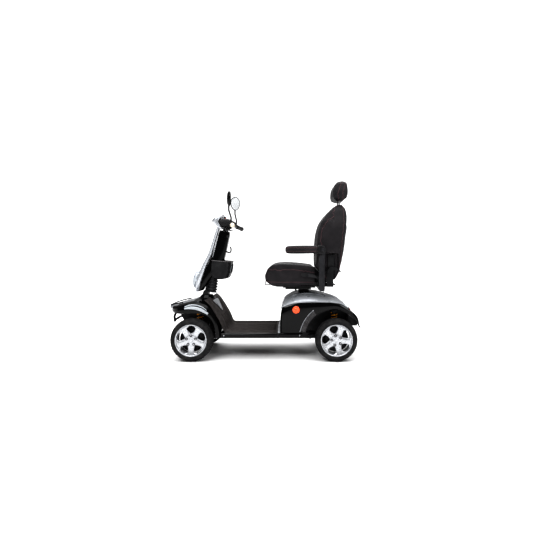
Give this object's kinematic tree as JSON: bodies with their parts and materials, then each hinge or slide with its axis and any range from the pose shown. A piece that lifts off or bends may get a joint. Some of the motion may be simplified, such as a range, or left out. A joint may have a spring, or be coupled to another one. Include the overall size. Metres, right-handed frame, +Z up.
{
  "type": "mobility scooter",
  "caption": "Large four-wheel mobility scooter with a swivelling captain seat, armrests, tilting tiller, mirrors, storage box, suspension and a ribbed footwell.",
  "frame": {"origin": "on the ground, under the middle of the scooter's bounding box", "axes": "+X forward, +Y to the rider's left, +Z up"},
  "size_m": [1.54, 0.63, 1.438],
  "materials": {
    "black_gloss": "high gloss",
    "silver_paint": "metallic silver paint on plastic, gloss",
    "frame_black": "satin powder coat",
    "black_plastic": "fine grained",
    "grey_plastic": "fine grained",
    "mat_rubber": "ribbed, matte",
    "black_rubber": "matte",
    "tyre": "ribbed tread",
    "alloy": "silver lacquer",
    "upholstery": "grained coated fabric over foam, with dusky pink piping",
    "steel": "bright",
    "chrome": "polished",
    "spring_yellow": "gloss",
    "clear_lens": "clear, gloss",
    "amber_lens": "gloss",
    "red_lens": "gloss",
    "mirror": "black shell with a mirror face"
  },
  "bodies": {
    "chassis": {"main_frame": "frame_black", "footwell": "black_gloss", "floor_mat": "mat_rubber", "front_cowl": "black_gloss", "front_light_lenses": "clear_lens", "front_bumper": "frame_black", "side_panels": "black_gloss", "rear_cover": "silver_paint", "rear_mudguards": "black_plastic", "side_indicators": "amber_lens", "tail_lights": "red_lens", "batteries": "grey_plastic", "front_springs": "spring_yellow", "rear_springs": "spring_yellow"},
    "freewheel": {"freewheel_lever": "steel"},
    "front_axle": {"front_axle_beam": "frame_black"},
    "knuckle_left": {"knuckle_left": "steel"},
    "knuckle_right": {"knuckle_right": "steel"},
    "tie_rod": {"tie_rod": "steel"},
    "rear_axle": {"rear_transaxle": "frame_black"},
    "steering": {"steering_stem": "black_gloss"},
    "tiller": {"tiller_column": "frame_black", "tiller_shroud": "black_gloss", "tiller_fascia": "silver_paint", "headlamp": "clear_lens", "console_housing": "black_plastic", "handlebar": "frame_black", "handlebar_grips": "black_rubber", "storage_box": "grey_plastic", "tiller_bellows": "black_rubber"},
    "throttle": {"throttle_lever": "black_plastic"},
    "brake": {"brake_lever": "black_plastic"},
    "dial": {"speed_dial": "grey_plastic"},
    "key": {"ignition_key": "steel"},
    "horn": {"horn_button": "amber_lens"},
    "mirror_left": {"mirror_head_left": "mirror"},
    "mirror_right": {"mirror_head_right": "mirror"},
    "seat_post": {"seat_post": "frame_black"},
    "seat_swivel": {"seat_swivel": "frame_black"},
    "seat": {"seat_pan": "frame_black", "seat_cushion": "upholstery"},
    "backrest": {"backrest_frame": "frame_black", "backrest_cushion": "upholstery"},
    "headrest": {"headrest_post": "chrome", "headrest_pad": "upholstery"},
    "arm_post_left": {"armrest_post_left": "grey_plastic"},
    "arm_post_right": {"armrest_post_right": "grey_plastic"},
    "arm_left": {"armrest_left": "upholstery"},
    "arm_right": {"armrest_right": "upholstery"},
    "slide_lever": {"slide_lever": "black_plastic"},
    "swivel_lever": {"swivel_lever": "black_plastic"},
    "recline_lever": {"recline_lever": "black_plastic"},
    "wheel_front_left": {"tyre_front_left": "tyre", "rim_front_left": "alloy"},
    "wheel_front_right": {"tyre_front_right": "tyre", "rim_front_right": "alloy"},
    "wheel_rear_left": {"tyre_rear_left": "tyre", "rim_rear_left": "alloy"},
    "wheel_rear_right": {"tyre_rear_right": "tyre", "rim_rear_right": "alloy"}
  },
  "joints": [
    {"name": "front_suspension", "type": "hinge", "parent": "chassis", "child": "front_axle", "pos_m": [0.345, 0, 0.152], "axis": [0, -1, 0], "range_deg": [-4, 4], "stiffness_Nm_per_rad": 1500, "springref_deg": -4.53, "deforming": ["front_springs"]},
    {"name": "rear_suspension", "type": "hinge", "parent": "chassis", "child": "rear_axle", "pos_m": [-0.395, 0, 0.152], "axis": [0, 1, 0], "range_deg": [-4, 4], "stiffness_Nm_per_rad": 2600, "springref_deg": -3.78, "deforming": ["rear_springs"]},
    {"name": "steering_turn", "type": "hinge", "parent": "chassis", "child": "steering", "pos_m": [0.47, 0, 0.4], "axis": [0, 0, 1], "range_deg": [-30, 30]},
    {"name": "knuckle_left_turn", "type": "hinge", "parent": "front_axle", "child": "knuckle_left", "pos_m": [0.532, 0.15, 0.165], "axis": [0, 0, 1], "range_deg": [-30, 30]},
    {"name": "knuckle_right_turn", "type": "hinge", "parent": "front_axle", "child": "knuckle_right", "pos_m": [0.532, -0.15, 0.165], "axis": [0, 0, 1], "range_deg": [-30, 30]},
    {"name": "tie_rod_swing", "type": "hinge", "parent": "knuckle_left", "child": "tie_rod", "pos_m": [0.462, 0.15, 0.115], "axis": [0, 0, 1], "range_deg": [-30, 30]},
    {"name": "tiller_tilt", "type": "hinge", "parent": "steering", "child": "tiller", "pos_m": [0.48, 0, 0.505], "axis": [0, 1, 0], "range_deg": [-12, 15], "deforming": ["tiller_bellows"]},
    {"name": "wheel_front_left_spin", "type": "hinge", "parent": "knuckle_left", "child": "wheel_front_left", "pos_m": [0.532, 0.2575, 0.165], "axis": [0, 1, 0], "continuous": true},
    {"name": "wheel_front_right_spin", "type": "hinge", "parent": "knuckle_right", "child": "wheel_front_right", "pos_m": [0.532, -0.2575, 0.165], "axis": [0, 1, 0], "continuous": true},
    {"name": "wheel_rear_left_spin", "type": "hinge", "parent": "rear_axle", "child": "wheel_rear_left", "pos_m": [-0.589, 0.2575, 0.165], "axis": [0, 1, 0], "continuous": true},
    {"name": "wheel_rear_right_spin", "type": "hinge", "parent": "rear_axle", "child": "wheel_rear_right", "pos_m": [-0.589, -0.2575, 0.165], "axis": [0, 1, 0], "continuous": true},
    {"name": "freewheel_pull", "type": "slide", "parent": "chassis", "child": "freewheel", "axis": [0, 0, 1], "range_m": [0, 0.012]},
    {"name": "throttle_swing", "type": "hinge", "parent": "tiller", "child": "throttle", "pos_m": [0.286, 0, 1.03], "axis": [0, 0, 1], "range_deg": [-12, 12], "stiffness_Nm_per_rad": 1.5},
    {"name": "brake_squeeze", "type": "hinge", "parent": "tiller", "child": "brake", "pos_m": [0.292, 0.172, 1.036], "axis": [0, 0, 1], "range_deg": [0, 8], "stiffness_Nm_per_rad": 3},
    {"name": "speed_dial_turn", "type": "hinge", "parent": "tiller", "child": "dial", "pos_m": [0.33, 0, 1.13], "axis": [0, 0, 1], "range_deg": [-135, 135]},
    {"name": "key_turn", "type": "hinge", "parent": "tiller", "child": "key", "pos_m": [0.33, 0.045, 1.13], "axis": [0, 0, 1], "range_deg": [0, 90]},
    {"name": "horn_press", "type": "slide", "parent": "tiller", "child": "horn", "axis": [0, 0, -1], "range_m": [0, 0.003], "stiffness_N_per_m": 400, "springref_m": -0.001},
    {"name": "mirror_left_turn", "type": "hinge", "parent": "tiller", "child": "mirror_left", "pos_m": [0.262, 0.17, 1.25], "axis": [0, 0, 1], "range_deg": [-35, 35]},
    {"name": "mirror_right_turn", "type": "hinge", "parent": "tiller", "child": "mirror_right", "pos_m": [0.262, -0.17, 1.25], "axis": [0, 0, 1], "range_deg": [-35, 35]},
    {"name": "seat_height", "type": "slide", "parent": "chassis", "child": "seat_post", "axis": [0, 0, 1], "range_m": [0, 0.06]},
    {"name": "seat_turn", "type": "hinge", "parent": "seat_post", "child": "seat_swivel", "pos_m": [-0.343, 0, 0.54], "axis": [0, 0, 1], "continuous": true},
    {"name": "seat_slide", "type": "slide", "parent": "seat_swivel", "child": "seat", "axis": [1, 0, 0], "range_m": [-0.05, 0.05]},
    {"name": "backrest_recline", "type": "hinge", "parent": "seat", "child": "backrest", "pos_m": [-0.548, 0, 0.7], "axis": [0, 1, 0], "range_deg": [-18, 12]},
    {"name": "headrest_height", "type": "slide", "parent": "backrest", "child": "headrest", "axis": [0, 0, 1], "range_m": [0, 0.06]},
    {"name": "arm_width_left", "type": "slide", "parent": "seat", "child": "arm_post_left", "axis": [0, 1, 0], "range_m": [0, 0.05]},
    {"name": "arm_width_right", "type": "slide", "parent": "seat", "child": "arm_post_right", "axis": [0, -1, 0], "range_m": [0, 0.05]},
    {"name": "arm_flip_left", "type": "hinge", "parent": "arm_post_left", "child": "arm_left", "pos_m": [-0.486, 0.272, 0.858], "axis": [0, -1, 0], "range_deg": [0, 95]},
    {"name": "arm_flip_right", "type": "hinge", "parent": "arm_post_right", "child": "arm_right", "pos_m": [-0.486, -0.272, 0.858], "axis": [0, -1, 0], "range_deg": [0, 95]},
    {"name": "slide_lever_lift", "type": "hinge", "parent": "seat", "child": "slide_lever", "pos_m": [-0.15, -0.175, 0.559], "axis": [0, -1, 0], "range_deg": [0, 4], "stiffness_Nm_per_rad": 0.5},
    {"name": "swivel_lever_pull", "type": "hinge", "parent": "seat_swivel", "child": "swivel_lever", "pos_m": [-0.276, 0.044, 0.54], "axis": [0, 0, -1], "range_deg": [0, 12], "stiffness_Nm_per_rad": 0.8},
    {"name": "recline_lever_lift", "type": "hinge", "parent": "seat", "child": "recline_lever", "pos_m": [-0.548, 0.222, 0.7], "axis": [0, 1, 0], "range_deg": [0, 20], "stiffness_Nm_per_rad": 1}
  ],
  "couplings": [
    {"joint": "knuckle_left_turn", "follows": "steering_turn", "ratio": 1},
    {"joint": "knuckle_right_turn", "follows": "steering_turn", "ratio": 1},
    {"joint": "tie_rod_swing", "follows": "steering_turn", "ratio": -1}
  ]
}
